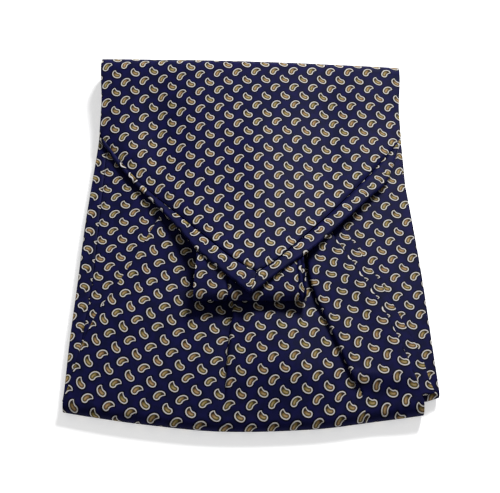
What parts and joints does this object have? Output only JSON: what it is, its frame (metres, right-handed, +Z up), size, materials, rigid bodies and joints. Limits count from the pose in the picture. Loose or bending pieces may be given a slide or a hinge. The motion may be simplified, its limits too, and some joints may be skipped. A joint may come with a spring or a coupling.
{
  "type": "day cravat, folded flat",
  "caption": "Silk day cravat folded flat for display: pointed end over a pleated neckband and a fanned, pleated blade.",
  "frame": {"origin": "on the surface that the cravat lies on, below the middle of its outline", "axes": "+X to the right and +Y from the pleated bottom fold to the top fold, both seen from above; +Z up from the surface"},
  "size_m": [0.161, 0.2017, 0.0224],
  "materials": {
    "pointed_end": "silk twill, printed",
    "tip_border_left": "silk twill, printed",
    "tip_border_right": "silk twill, printed",
    "neckband": "silk twill, printed",
    "pleated_blade": "silk twill, printed",
    "right_pleat": "silk twill, printed",
    "lower_blade": "silk twill, printed",
    "side_border": "silk twill, printed",
    "folded_layers": "silk twill, printed"
  },
  "bodies": {
    "root": {"pointed_end": "pointed_end", "tip_border_left": "tip_border_left", "tip_border_right": "tip_border_right", "neckband": "neckband", "pleated_blade": "pleated_blade", "right_pleat": "right_pleat", "lower_blade": "lower_blade", "side_border": "side_border", "folded_layers": "folded_layers"}
  },
  "joints": []
}
